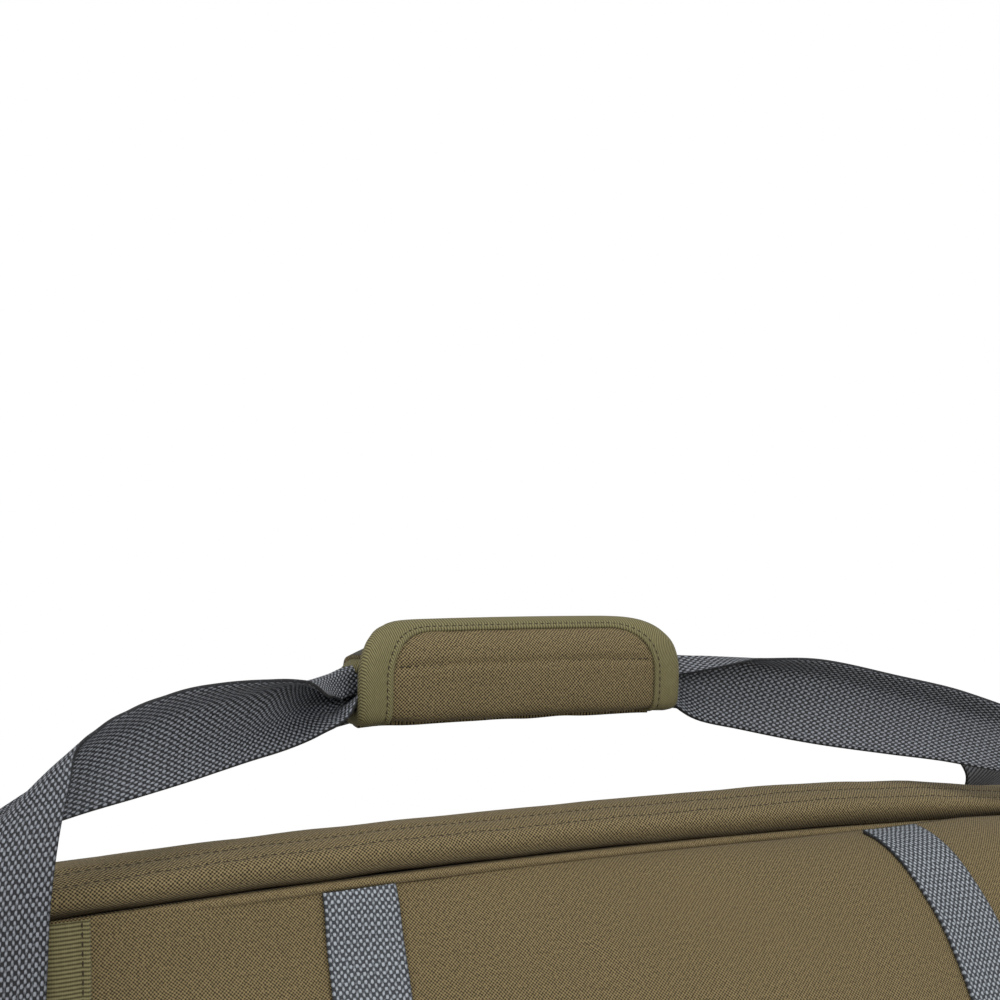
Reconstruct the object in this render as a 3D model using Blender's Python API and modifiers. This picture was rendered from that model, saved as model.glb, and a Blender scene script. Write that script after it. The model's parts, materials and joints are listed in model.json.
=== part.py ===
"""Padded fabric rod case: a zipped clamshell with a two-strap carry handle and an open-ended front sleeve.

+X runs along the case, -Y is the front with the sleeve, +Z is up. The origin is the middle of the base.
"""
import math

import bmesh
import bpy
from mathutils import Matrix, Vector

# Driving dimensions, in metres.
CASE_LENGTH = 1.600
CASE_DEPTH = 0.115
SEAM_HEIGHT = 0.2565      # height of the front top seam at the middle
ARCH_RADIUS = 5.0         # the top edge rises to the middle on this radius
TOP_CORNER = 0.060
PANEL = 0.008             # padded front and rear panels
GUSSET = 0.004            # padded strip round the edge
BASE = 0.010
BASE_OVERHANG = 0.010     # the base runs this far past each end, under the padded edge
HINGE_HEIGHT = 0.030      # where the lid is sewn to the front skirt
ROLL_RISE = 0.0145        # how far the padded roll stands above the seam
ROLL_CREST = 0.012        # how far the roll's top lies behind the front face
TOP_FALL = 0.175          # slope of the top from the roll down to the rear edge
ZIP_SETBACK = 0.040       # zip centre behind the front face
TAPE_WIDTH = 0.0094
TAPE = 0.0016
ZIP_GAP = 0.0006          # between the two rows of zip coil
PIPING = 0.0017           # radius of the covered cord in the seams
GAP = 0.0003              # clearance between touching pieces

SLEEVE_LENGTH = 0.470
SLEEVE_BOTTOM = 0.046
SLEEVE = 0.0024
SLEEVE_FULLNESS = 0.078   # how far the fullest part of the sleeve stands forward
BINDING_WIDTH = 0.012
BINDING = 0.0012
STRAP_SPACING = 0.246     # between the centres of the two sleeve straps
STRAP_WIDTH = 0.030
STRAP = 0.0014

HANDLE_WEB = 0.040
STRAP_TO_SLEEVE = 0.010   # clear space between a handle strap and the sleeve's end
HANDLE_SPAN = SLEEVE_LENGTH + 2 * STRAP_TO_SLEEVE + HANDLE_WEB
WEB = 0.0018
ANCHOR_HEIGHT = 0.130
WEB_TURN = 0.0012         # lets a strap's end turn clear of its sewn part
GRIP_LENGTH = 0.152
GRIP_OFFSET = -0.031      # the grip has slid this far off the middle
GRIP_RISE = 0.069         # grip centre above the front seam at the middle
GRIP_DEPTH = 0.034
GRIP_HEIGHT = 0.043
GRIP_LAYER = 0.0032
PINCHED_WEB = 0.018       # the webbing is gathered to this width inside the grip
STRAPS_APART = 0.0032     # between the two straps' middles inside the grip

SLIDER_LENGTH = 0.016
SLIDER_WIDTH = 0.009
SLIDER_HEIGHT = 0.0045
SLIDER_CLEAR = 0.0011     # under the slider, which crosses the sloping top
SLIDERS_MEET = 0.550      # where the two sliders meet when the case is shut
PULLER_LENGTH = 0.042
PULLER_WIDTH = 0.006
PULLER_SPACE = 0.0030     # lets the puller turn clear of its slider

DIVIDER = 0.004
DIVIDER_LIFT = 0.0015     # lets its lower edge turn clear of the base board
DIVIDER_RISE = 0.040      # its top stands this far above the centres of the top corners
POCKET_LENGTH = 0.160
POCKET_DEPTH = 0.026
POCKET_RISE = 0.0025      # likewise for the pockets' tops
POCKET_CLEAR = 0.0079     # between a pocket and the inside of the end
BOARD_CLEAR = 0.0019      # between the base board and the inside of the end
POCKET_WALL = 0.002
ROD_LOOP_WIDTH = 0.050
ROD_LOOP_BULGE = 0.026

FRONT = -CASE_DEPTH / 2
REAR = CASE_DEPTH / 2
ZIP_Y = FRONT + ZIP_SETBACK
ARCH_CENTRE = SEAM_HEIGHT - ARCH_RADIUS
GRIP_Z = SEAM_HEIGHT + GRIP_RISE
GRIP_Y = FRONT + 0.051


def srgb(red, green, blue):
    return tuple(((c / 255 + 0.055) / 1.055) ** 2.4 for c in (red, green, blue)) + (1.0,)


COLOURS = {
    "fabric": (srgb(112, 100, 73), 0.85),
    "fabric_dark": (srgb(90, 80, 58), 0.88),
    "lining": (srgb(70, 66, 55), 0.9),
    "binding": (srgb(104, 98, 72), 0.8),
    "webbing": (srgb(92, 94, 99), 0.7),
    "zip": (srgb(48, 45, 38), 0.6),
    "hook": (srgb(38, 37, 32), 0.9),
    "slider": (srgb(60, 58, 52), 0.4),
    "board": (srgb(40, 40, 40), 0.6),
}


def clear_scene():
    for obj in list(bpy.data.objects):
        bpy.data.objects.remove(obj, do_unlink=True)


def collection(name):
    found = bpy.data.collections.new(name)
    bpy.context.scene.collection.children.link(found)
    return found


def finish(obj, finish_name):
    """Puts the object in the case's collection and gives it its own material."""
    colour, roughness = COLOURS[finish_name]
    material = bpy.data.materials.new(obj.name + "_" + finish_name)
    material.use_nodes = True
    shader = material.node_tree.nodes["Principled BSDF"]
    shader.inputs["Base Color"].default_value = colour
    shader.inputs["Roughness"].default_value = roughness
    obj.data.materials.clear()
    obj.data.materials.append(material)
    CASE.objects.link(obj)
    return obj


def mesh_object(name, bm, finish_name):
    bmesh.ops.recalc_face_normals(bm, faces=bm.faces)
    mesh = bpy.data.meshes.new(name)
    bm.to_mesh(mesh)
    bm.free()
    return finish(bpy.data.objects.new(name, mesh), finish_name)


def box(name, low, high, finish_name, bevel=0.0):
    """A box between two corners, with rounded edges where bevel is given."""
    bm = bmesh.new()
    bmesh.ops.create_cube(bm, size=1.0)
    low, high = Vector(low), Vector(high)
    bmesh.ops.scale(bm, verts=bm.verts, vec=high - low)
    bmesh.ops.translate(bm, verts=bm.verts, vec=(high + low) / 2)
    obj = mesh_object(name, bm, finish_name)
    if bevel:
        rounding = obj.modifiers.new("Rounded edges", "BEVEL")
        rounding.width = bevel
        rounding.segments = 2
    return obj


def plate(name, outline, y_low, y_high, finish_name):
    """An outline in the XZ plane, extruded from y_low to y_high."""
    bm = bmesh.new()
    face = bm.faces.new([bm.verts.new((x, y_low, z)) for x, z in outline])
    grown = bmesh.ops.extrude_face_region(bm, geom=[face])["geom"]
    moved = [item for item in grown if isinstance(item, bmesh.types.BMVert)]
    bmesh.ops.translate(bm, verts=moved, vec=(0, y_high - y_low, 0))
    return mesh_object(name, bm, finish_name)


def prism(name, section, x_low, x_high, finish_name):
    """A closed section in the YZ plane, extruded from x_low to x_high."""
    bm = bmesh.new()
    face = bm.faces.new([bm.verts.new((x_low, y, z)) for y, z in section])
    grown = bmesh.ops.extrude_face_region(bm, geom=[face])["geom"]
    moved = [item for item in grown if isinstance(item, bmesh.types.BMVert)]
    bmesh.ops.translate(bm, verts=moved, vec=(x_high - x_low, 0, 0))
    return mesh_object(name, bm, finish_name)


def sheet(name, rows, thickness, finish_name, offset=-1.0):
    """A lofted sheet through rows of points. Offset -1 thickens it against its normal, 1 along it."""
    bm = bmesh.new()
    grid = [[bm.verts.new(point) for point in row] for row in rows]
    for lower, upper in zip(grid, grid[1:]):
        for left, right, over, above in zip(lower, lower[1:], upper[1:], upper):
            bm.faces.new((left, right, over, above))
    mesh = bpy.data.meshes.new(name)
    bm.to_mesh(mesh)
    bm.free()
    obj = finish(bpy.data.objects.new(name, mesh), finish_name)
    shell = obj.modifiers.new("Thickness", "SOLIDIFY")
    shell.thickness = thickness
    shell.offset = offset
    shell.use_even_offset = True
    return obj


def tube(name, points, radius, finish_name, sides=2):
    """A round cord along a list of points, with filled ends."""
    curve = bpy.data.curves.new(name, "CURVE")
    curve.dimensions = "3D"
    spline = curve.splines.new("POLY")
    spline.points.add(len(points) - 1)
    for target, point in zip(spline.points, points):
        target.co = (*point, 1.0)
    curve.bevel_depth = radius
    curve.bevel_resolution = sides
    curve.use_fill_caps = True
    return finish(bpy.data.objects.new(name, curve), finish_name)


def arch(x, level=0.0):
    """Height of the top edge at x, for a curve level metres outside the seam."""
    return ARCH_CENTRE + math.sqrt((ARCH_RADIUS + level) ** 2 - x * x)


def corner_centre():
    """Centre of the left top corner's arc, which meets the end and the arch smoothly."""
    x = -CASE_LENGTH / 2 + TOP_CORNER
    return x, ARCH_CENTRE + math.sqrt((ARCH_RADIUS - TOP_CORNER) ** 2 - x * x)


def end_rim(level, z_low, x_last, steps=7):
    """(x, z) up the left end, round its top corner and along the arch to x_last."""
    x_c, z_c = corner_centre()
    turn = math.atan2(z_c - ARCH_CENTRE, x_c)
    radius = TOP_CORNER + level
    points = [(-CASE_LENGTH / 2 - level, z_low), (-CASE_LENGTH / 2 - level, (z_low + z_c) / 2)]
    for step in range(steps + 1):
        angle = math.pi + (turn - math.pi) * step / steps
        points.append((x_c + radius * math.cos(angle), z_c + radius * math.sin(angle)))
    points.append((x_last, arch(x_last, level)))
    return points


def top_rim(level, x_last, steps=24):
    """(x, z) along the arch from -x_last to x_last."""
    return [(x, arch(x, level)) for x in (-x_last + 2 * x_last * s / steps for s in range(steps + 1))]


def mirrored(points):
    return [(-x, z) for x, z in reversed(points)]


END_JOIN = CASE_LENGTH / 2 - 0.100     # where the end gussets meet the top gusset


def rim_sheet(name, rim, profile, thickness, finish_name):
    """A strip round the edge: profile is (y, level) from front to rear, rim(level) gives (x, z)."""
    rows = [[(x, y, z) for x, z in rim(level)] for y, level in profile]
    return sheet(name, rows, thickness, finish_name)


def whole_outline(level, z_low):
    """Closed outline of a panel: up the left end, over the top and down the right end."""
    left = end_rim(level, z_low, -END_JOIN)
    return left + top_rim(level, END_JOIN)[1:-1] + mirrored(left)


def top_level(y):
    """Level of the padded top at y, behind the roll's crest."""
    return ROLL_RISE - TOP_FALL * (y - FRONT - ROLL_CREST)


def roll_profile(y_last):
    """The roll: straight up from the seam, round over the crest, then down to y_last."""
    bottom = 0.0012
    points = []
    for step in range(5):
        angle = math.radians(90 * step / 4)
        y = FRONT + ROLL_CREST * (1 - math.cos(angle))
        points.append((y, bottom + (ROLL_RISE - bottom) * math.sin(angle)))
    middle = (points[-1][0] + y_last) / 2
    return points + [(middle, top_level(middle)), (y_last, top_level(y_last))]


LID_TAPE_START = ZIP_Y - ZIP_GAP / 2 - TAPE_WIDTH
TRAY_TAPE_END = ZIP_Y + ZIP_GAP / 2 + TAPE_WIDTH
REAR_LEVEL = top_level(REAR - PANEL)


def gusset_set(owner, profile, z_low):
    """The top strip and the two end strips of one half of the case."""
    join = END_JOIN - GAP / 2
    rim_sheet(owner + "_top_gusset", lambda level: top_rim(level, join), profile, GUSSET, "fabric")
    left = lambda level: end_rim(level, z_low, -join - GAP)
    rim_sheet(owner + "_left_gusset", left, profile, GUSSET, "fabric")
    rim_sheet(owner + "_right_gusset", lambda level: mirrored(left(level)), profile, GUSSET, "fabric")


def build_tray():
    """The rear half: base, rear panel, gussets and what is sewn to them."""
    half = CASE_LENGTH / 2
    wide = half + BASE_OVERHANG
    box("base_panel", (-wide, FRONT, 0), (wide, REAR, BASE), "fabric_dark", bevel=0.003)
    inner = half + REAR_LEVEL - GUSSET - BOARD_CLEAR
    box("base_board", (-inner, FRONT + PANEL + 0.002, BASE + GAP),
        (inner, REAR - PANEL - 0.002, BASE + 0.004), "board", bevel=0.0008)
    skirt = (BASE + GAP, HINGE_HEIGHT - GAP)
    box("front_skirt", (-wide, FRONT, skirt[0]), (wide, FRONT + PANEL, skirt[1]), "fabric_dark")
    for end, x_low, x_high in (("left", -wide, -wide + GUSSET), ("right", wide - GUSSET, wide)):
        box("skirt_" + end, (x_low, FRONT + PANEL + GAP, skirt[0]), (x_high, ZIP_Y - GAP, skirt[1]), "fabric_dark")
    plate("rear_panel", whole_outline(REAR_LEVEL, BASE + GAP), REAR - PANEL, REAR, "fabric")
    y_start, y_last = TRAY_TAPE_END + GAP, REAR - PANEL - GAP
    middle = (y_start + y_last) / 2
    profile = [(y, top_level(y)) for y in (y_start, middle, y_last)]
    gusset_set("tray", profile, BASE + GAP)
    zip_tape("tray_zip_tape", ZIP_Y + ZIP_GAP / 2, TRAY_TAPE_END)
    level = REAR_LEVEL - PIPING
    points = [(x, REAR + PIPING + GAP, z) for x, z in whole_outline(level, BASE + 0.004)]
    tube("rear_piping", points, PIPING, "binding")


def zip_tape(name, y_low, y_high):
    """One side of the zip with its row of coil, along the ends and the top."""
    rows = [[(x, y, z) for x, z in whole_outline(top_level(y), HINGE_HEIGHT + GAP)] for y in (y_low, y_high)]
    sheet(name, rows, TAPE, "zip")


def build_lid():
    """The front half, which hinges on the top of the front skirt."""
    lid_low = HINGE_HEIGHT + GAP
    plate("lid_panel", whole_outline(0.0, lid_low), FRONT, FRONT + PANEL, "fabric")
    gusset_set("lid", roll_profile(LID_TAPE_START - GAP), lid_low)
    zip_tape("lid_zip_tape", LID_TAPE_START, ZIP_Y - ZIP_GAP / 2)
    level = -PIPING
    points = [(x, FRONT - PIPING - GAP, z) for x, z in whole_outline(level, HINGE_HEIGHT + 0.004)]
    tube("front_piping", points, PIPING, "fabric")


def smooth(low, high, value):
    t = min(max((value - low) / (high - low), 0.0), 1.0)
    return t * t * (3 - 2 * t)


def sleeve_shape(x, down):
    """How far the sleeve stands forward at x, where down runs from 0 at its top seam to 1 at its bottom seam."""
    half = SLEEVE_LENGTH / 2
    along = (x + half) / SLEEVE_LENGTH
    fullness = 0.10 + 0.90 * smooth(-0.05, 0.80, along) - 0.25 * smooth(0.82, 1.15, along)
    power = 0.90 - 0.42 * smooth(0.15, 0.75, along)
    return SLEEVE_FULLNESS * fullness * math.sin(math.pi * down) ** power


def sleeve_face(x, down):
    """A point on the sleeve's outer face."""
    top = arch(x) - 2 * PIPING - GAP
    forward = SLEEVE + GAP + sleeve_shape(x, down)
    return Vector((x, FRONT - forward, top + (SLEEVE_BOTTOM - top) * down))


def sleeve_point(x, down, proud):
    """A point proud metres out from the sleeve's face, square to it."""
    if not proud:
        return sleeve_face(x, down)
    step = 0.01
    along = sleeve_face(x + step, down) - sleeve_face(x - step, down)
    low, high = max(down - step, 0.0), min(down + step, 1.0)
    out = (sleeve_face(x, high) - sleeve_face(x, low)).cross(along).normalized()
    return sleeve_face(x, down) + out * proud


def downs(steps=16):
    """Places down the sleeve, closer together near its two seams."""
    return [(1 - math.cos(math.pi * step / steps)) / 2 for step in range(steps + 1)]


def sleeve_columns():
    """Places along the sleeve, with one at each edge of its bindings and straps."""
    half = SLEEVE_LENGTH / 2
    edges = [-half, -half + BINDING_WIDTH, half - BINDING_WIDTH, half]
    for middle in (-STRAP_SPACING / 2, STRAP_SPACING / 2):
        edges += [middle - STRAP_WIDTH / 2, middle + STRAP_WIDTH / 2]
    edges.sort()
    columns = []
    for low, high in zip(edges, edges[1:]):
        pieces = max(1, round((high - low) / 0.025))
        columns += [low + (high - low) * piece / pieces for piece in range(pieces)]
    return columns + [half]


def sleeve_strip(name, x_low, x_high, proud, thickness, finish_name):
    """The stretch of the sleeve's surface between two places along it, as a sheet proud of its face.

    What lies on the face starts a row lower, clear of the piping.
    """
    columns = [x for x in sleeve_columns() if x_low - GAP < x < x_high + GAP]
    rows = [[sleeve_point(x, down, proud) for x in columns] for down in downs()[1 if proud else 0:]]
    return sheet(name, rows, thickness, finish_name, offset=1.0)


def build_sleeve():
    """The open-ended sleeve on the front, its bound ends and its two straps."""
    half = SLEEVE_LENGTH / 2
    sleeve_strip("sleeve_panel", -half, half, 0.0, SLEEVE, "fabric")
    for side, x_low in (("left", -half), ("right", half - BINDING_WIDTH)):
        sleeve_strip("sleeve_binding_" + side, x_low, x_low + BINDING_WIDTH, BINDING + GAP, BINDING, "binding")
    for side, x in (("left", -STRAP_SPACING / 2), ("right", STRAP_SPACING / 2)):
        x_low, x_high = x - STRAP_WIDTH / 2, x + STRAP_WIDTH / 2
        sleeve_strip("sleeve_strap_" + side, x_low, x_high, STRAP + GAP, STRAP, "webbing")


def strap_stations(side):
    """The handle strap's centre line from its left sewn end to its right one, with the way its width runs."""
    half = HANDLE_SPAN / 2
    face = FRONT if side < 0 else -REAR
    foot = face - WEB - 2 * GAP
    grip_y = GRIP_Y if side < 0 else -GRIP_Y
    near = grip_y - STRAPS_APART / 2
    z = SEAM_HEIGHT
    g_left, g_right = GRIP_OFFSET - GRIP_LENGTH / 2, GRIP_OFFSET + GRIP_LENGTH / 2
    level_web = Vector((0.05, 0, 1)).normalized()
    return [
        ((-half, foot, ANCHOR_HEIGHT), Vector((1, 0, 0)), HANDLE_WEB),
        ((-half, foot - 0.012, z - 0.080), Vector((1, 0, 0)), HANDLE_WEB),
        ((-half + 0.003, foot - 0.020, z - 0.030), Vector((1, 0, -0.05)), HANDLE_WEB),
        ((-half + 0.006, foot - 0.019, z + 0.008), Vector((1, 0, -0.15)), HANDLE_WEB),
        ((-half + 0.015, foot - 0.010, z + 0.034), Vector((1, 0.1, -0.8)), HANDLE_WEB),
        ((-half + 0.036, foot + 0.006, z + 0.050), Vector((0.45, 0.2, -1)), HANDLE_WEB),
        ((-half + 0.075, foot + 0.022, z + 0.054), Vector((0.2, 0, -1)), HANDLE_WEB * 0.85),
        ((g_left - 0.014, near, z + 0.062), Vector((0.1, 0, -1)), PINCHED_WEB * 1.3),
        ((g_left, near, z + 0.0685), Vector((0, 0, -1)), PINCHED_WEB),
        ((GRIP_OFFSET, near, GRIP_Z), Vector((0, 0, -1)), PINCHED_WEB),
        ((g_right, near, z + 0.0685), -level_web, PINCHED_WEB),
        ((g_right + 0.022, near - 0.003, z + 0.058), Vector((-0.1, 0, -1)), HANDLE_WEB * 0.7),
        ((g_right + 0.070, near - 0.020, z + 0.049), Vector((-0.1, 0, -1)), HANDLE_WEB * 0.9),
        ((g_right + 0.125, foot + 0.006, z + 0.040), Vector((-0.35, 0, -1)), HANDLE_WEB),
        ((half - 0.022, foot - 0.010, z + 0.024), Vector((-0.8, 0.1, -0.9)), HANDLE_WEB),
        ((half - 0.003, foot - 0.019, z - 0.006), Vector((-1, 0, -0.2)), HANDLE_WEB),
        ((half, foot - 0.020, z - 0.035), Vector((-1, 0, 0)), HANDLE_WEB),
        ((half, foot - 0.012, z - 0.080), Vector((-1, 0, 0)), HANDLE_WEB),
        ((half, foot, ANCHOR_HEIGHT), Vector((-1, 0, 0)), HANDLE_WEB),
    ]


def handle_strap(name, side):
    """A handle strap: side is -1 at the front and +1 at the rear, where y is mirrored."""
    rows = []
    for centre, across, width in strap_stations(side):
        reach = across.normalized() * width / 2
        low, high = Vector(centre) - reach, Vector(centre) + reach
        flip = Vector((1, -side, 1))
        rows.append([low * flip, high * flip])
    return sheet(name, rows, WEB, "webbing", offset=0.0)


def sewn_webbing(name, side, x):
    """The sewn part of a handle strap, from the panel's lower edge up to where the strap comes free."""
    face = FRONT if side < 0 else REAR
    low = HINGE_HEIGHT + 0.006 if side < 0 else BASE + 0.004
    outer = face + side * (WEB + GAP)
    y_low, y_high = sorted((face + side * GAP, outer))
    box(name, (x - HANDLE_WEB / 2, y_low, low), (x + HANDLE_WEB / 2, y_high, ANCHOR_HEIGHT - WEB_TURN), "webbing")


def grip_shell(name, inset, thickness, start, end, finish_name, x_inset=0.0, steps=16):
    """A layer of the grip: an arc of an oval tube round the handle straps, angles from the rear over the top."""
    section = []
    for depth, order in ((inset, range(steps + 1)), (inset + thickness, range(steps, -1, -1))):
        for step in order:
            angle = math.radians(start + (end - start) * step / steps)
            y = GRIP_Y + (GRIP_DEPTH / 2 - depth) * math.cos(angle)
            section.append((y, GRIP_Z + (GRIP_HEIGHT / 2 - depth) * math.sin(angle)))
    reach = GRIP_LENGTH / 2 - x_inset
    return prism(name, section, GRIP_OFFSET - reach, GRIP_OFFSET + reach, finish_name)


def build_handle():
    """Two straps, their sewn ends, and the hook-and-loop grip that holds them together."""
    handle_strap("front_handle_strap", -1)
    handle_strap("rear_handle_strap", 1)
    for end, x in (("left", -HANDLE_SPAN / 2), ("right", HANDLE_SPAN / 2)):
        sewn_webbing("front_webbing_" + end, -1, x)
        sewn_webbing("rear_webbing_" + end, 1, x)
    strip = 0.0008
    inner = GRIP_LAYER + 2 * strip + 3 * GAP
    grip_shell("grip_flap", 0.0, GRIP_LAYER, 92, 268, "fabric")
    grip_shell("grip_hook_strip", GRIP_LAYER + GAP, strip, 95, 165, "hook", x_inset=0.012, steps=8)
    grip_shell("grip_loop_strip", GRIP_LAYER + strip + 2 * GAP, strip, 95, 165, "hook", x_inset=0.012, steps=8)
    grip_shell("grip_wrap", inner, GRIP_LAYER, -88, 205, "fabric", steps=20)


def on_zip(x, above):
    """The place and tilt of something that sits on the zip at x."""
    level = top_level(ZIP_Y) + above
    radius = ARCH_RADIUS + level
    angle = math.asin(x / radius)
    place = Matrix.Translation((x, ZIP_Y, ARCH_CENTRE + radius * math.cos(angle)))
    return place @ Matrix.Rotation(angle, 4, "Y")


def build_zip_pulls():
    """Two sliders nose to nose, each with a cord puller hinged on it."""
    for end, way in (("left", -1), ("right", 1)):
        x = SLIDERS_MEET + way * (SLIDER_LENGTH / 2 + 0.001)
        place = on_zip(x, SLIDER_CLEAR)
        pivot = bpy.data.objects.new("zip_slider_" + end + "_axis", None)
        pivot.matrix_world = place
        CASE.objects.link(pivot)
        half = SLIDER_LENGTH / 2
        slider = box("zip_slider_" + end, (-half, -SLIDER_WIDTH / 2, 0), (half, SLIDER_WIDTH / 2, SLIDER_HEIGHT),
                     "slider", bevel=0.0012)
        slider.parent = pivot
        start = half + PULLER_SPACE
        ends = sorted((way * start, way * (start + PULLER_LENGTH)))
        puller = box("zip_puller_" + end, (ends[0], -PULLER_WIDTH / 2, 0.0006),
                     (ends[1], PULLER_WIDTH / 2, 0.0036), "webbing", bevel=0.0010)
        puller.parent = pivot


def build_inside():
    """What holds the rods: a leaning divider, elastic rod loops and a pocket at each end."""
    half = CASE_LENGTH / 2
    inner = half + REAR_LEVEL - GUSSET - POCKET_CLEAR
    low = BASE + 0.004 + GAP
    corner = corner_centre()[1]
    reach = half - TOP_CORNER
    foot = low + DIVIDER_LIFT
    box("divider", (-reach, -DIVIDER / 2, foot), (reach, DIVIDER / 2, corner + DIVIDER_RISE), "lining", bevel=0.001)
    wall = REAR - PANEL
    for side, way in (("tip", -1), ("butt", 1)):
        ends = sorted((way * inner, way * (inner - POCKET_LENGTH)))
        pocket(side + "_pocket", ends[0], ends[1], wall - GAP, low + 0.004, corner + POCKET_RISE)
    for side, x in (("left", -0.330), ("right", 0.330)):
        rod_loop("rod_loop_" + side, x, wall - GAP, 0.095)


def pocket(name, x_low, x_high, y_wall, z_low, z_high):
    """A flat pocket on the rear panel, open towards the middle of the case at both of its ends."""
    y_out = y_wall - POCKET_DEPTH
    w = POCKET_WALL
    section = [(y_wall, z_low), (y_out, z_low), (y_out, z_high), (y_wall, z_high),
               (y_wall, z_high - w), (y_out + w, z_high - w), (y_out + w, z_low + w), (y_wall, z_low + w)]
    prism(name, section, x_low, x_high, "lining")


def rod_loop(name, x, y_wall, z_middle):
    """An elastic band sewn to the rear panel above and below the rods."""
    rows = []
    steps = 12
    for step in range(steps + 1):
        along = step / steps
        bulge = ROD_LOOP_BULGE * math.sin(math.pi * along) ** 0.7
        z = z_middle + 0.055 * (1 - 2 * along)
        rows.append([(x - ROD_LOOP_WIDTH / 2, y_wall - 0.0016 - bulge, z),
                     (x + ROD_LOOP_WIDTH / 2, y_wall - 0.0016 - bulge, z)])
    return sheet(name, rows, 0.0016, "lining", offset=1.0)


clear_scene()
CASE = collection("rod_case")
build_tray()
build_lid()
build_sleeve()
build_handle()
build_zip_pulls()
build_inside()
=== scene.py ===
import json
import math

import bmesh
import bpy
import numpy as np
from mathutils import Matrix, Vector, noise


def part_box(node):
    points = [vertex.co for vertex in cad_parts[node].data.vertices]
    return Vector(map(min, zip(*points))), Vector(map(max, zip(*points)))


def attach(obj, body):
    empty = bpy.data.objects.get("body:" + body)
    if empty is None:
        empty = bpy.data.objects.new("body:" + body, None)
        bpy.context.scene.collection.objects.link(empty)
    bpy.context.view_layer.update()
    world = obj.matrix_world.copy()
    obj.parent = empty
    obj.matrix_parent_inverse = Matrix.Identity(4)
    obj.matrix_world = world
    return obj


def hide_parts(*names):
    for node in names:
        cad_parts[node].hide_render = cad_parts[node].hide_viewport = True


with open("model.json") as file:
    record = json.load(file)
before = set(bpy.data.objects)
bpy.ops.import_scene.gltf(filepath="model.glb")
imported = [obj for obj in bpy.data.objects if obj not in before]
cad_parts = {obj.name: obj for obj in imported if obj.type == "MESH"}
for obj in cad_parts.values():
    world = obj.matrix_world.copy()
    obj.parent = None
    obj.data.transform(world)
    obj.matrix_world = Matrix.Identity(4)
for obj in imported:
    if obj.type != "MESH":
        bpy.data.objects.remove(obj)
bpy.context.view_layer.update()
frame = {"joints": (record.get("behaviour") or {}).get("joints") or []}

# places read from the frame

lidLow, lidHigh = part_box("lid_panel")
webLow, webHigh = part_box("front_webbing_right")
hinges = {joint["name"]: joint for joint in frame["joints"]}
frontY = lidLow.y            # front face of the padded front panel
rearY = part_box("rear_panel")[1].y
seamZ = lidHigh.z            # front top seam at the middle
hingeZ = hinges["lid_hinge"]["pos_m"][2]
archCentre = hinges["zip_run_left"]["pos_m"][2]
zipY = hinges["zip_run_left"]["pos_m"][1]
archRadius = seamZ - archCentre
halfCase = lidHigh.x
webMiddle = (webLow.x + webHigh.x) / 2      # where the handle is sewn down, each side of the middle
anchorZ = hinges["front_handle_swing"]["pos_m"][2]

case = {
    "topCorner": 0.060,      # radius of the top corners
    "rollRise": 0.0145,      # roll's crest above the seam
    "rollCrest": 0.012,      # roll's crest behind the front face
    "topFall": 0.175,        # slope of the top down to the rear
    "gusset": 0.0036,
    "panel": 0.0072,
    "tape": 0.0094,          # each zip tape's width
    "piping": 0.0017,
    "swellFloor": 0.2,       # only the top, above this height, swells and sinks
    # how much higher the padded top stands along the case, (x, lift) in millimetres
    "swell": [(-300, 0), (-231, -0.5), (-194, 0.6), (-155, 1.2), (-56, 0.7), (-16, 1.2), (39, 1.5), (96, 1.7),
              (133, 1.2), (162, -0.6), (186, -3.2), (210, -5.6), (250, -5.8), (330, -2.0), (420, 0)],
}

weave = {
    "fabricPitch": 0.00128,
    "handleWeb": (0.0030, 0.001),   # repeat along, column width
    "sleeveWeb": (0.0028, 0.0028 / 2.4),
    "liningPitch": 0.0011,
    "ribPitch": 0.00130,
}


# small helpers

def srgb(red, green, blue):
    return tuple(((c / 255 + 0.055) / 1.055) ** 2.4 for c in (red, green, blue)) + (1.0,)


def ease(low, high, value):
    # smooth step from 0 at low to 1 at high, either way round
    t = min(max((value - low) / (high - low), 0.0), 1.0)
    return t * t * (3 - 2 * t)


def hump(centre, width, value):
    return math.exp(-((value - centre) / width) ** 2)


def wobble(x, y, z, scale):
    return noise.noise(Vector((x, y, z)) * scale)


def through(points, steps):
    # smooth line through points of any dimension, spaced by chord length
    pts = np.array(points, float)
    gaps = np.maximum(np.linalg.norm(np.diff(pts[:, :3], axis=0), axis=1), 1e-6) ** 0.5
    knots = np.concatenate([[0], np.cumsum(gaps)])
    slopes = np.gradient(pts, knots, axis=0)
    at = np.linspace(0, knots[-1], steps)
    index = np.clip(np.searchsorted(knots, at, side="right") - 1, 0, len(knots) - 2)
    width = (knots[index + 1] - knots[index])[:, None]
    t = (at - knots[index])[:, None] / width
    a, b = pts[index], pts[index + 1]
    return ((2 * t**3 - 3 * t**2 + 1) * a + (t**3 - 2 * t**2 + t) * width * slopes[index]
            + (3 * t**2 - 2 * t**3) * b + (t**3 - t**2) * width * slopes[index + 1])


def distances(pts):
    # how far along a line each of its points is
    return np.concatenate([[0], np.cumsum(np.linalg.norm(np.diff(pts, axis=0), axis=1))])


def evenly(points, count):
    # the same line with its points the same distance apart
    pts = np.array(points, float)
    run = distances(pts)
    at = np.linspace(0, run[-1], count)
    return np.stack([np.interp(at, run, pts[:, k]) for k in range(pts.shape[1])], 1)


def runs(grid, axis):
    # distance along one way of a grid of points, from its middle
    steps = np.linalg.norm(np.diff(grid, axis=axis), axis=2)
    zero = np.zeros_like(np.take(grid[..., 0], [0], axis=axis))
    total = np.concatenate([zero, np.cumsum(steps, axis=axis)], axis=axis)
    middle = np.take(total, [total.shape[axis] // 2], axis=axis)
    return total - middle


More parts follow.
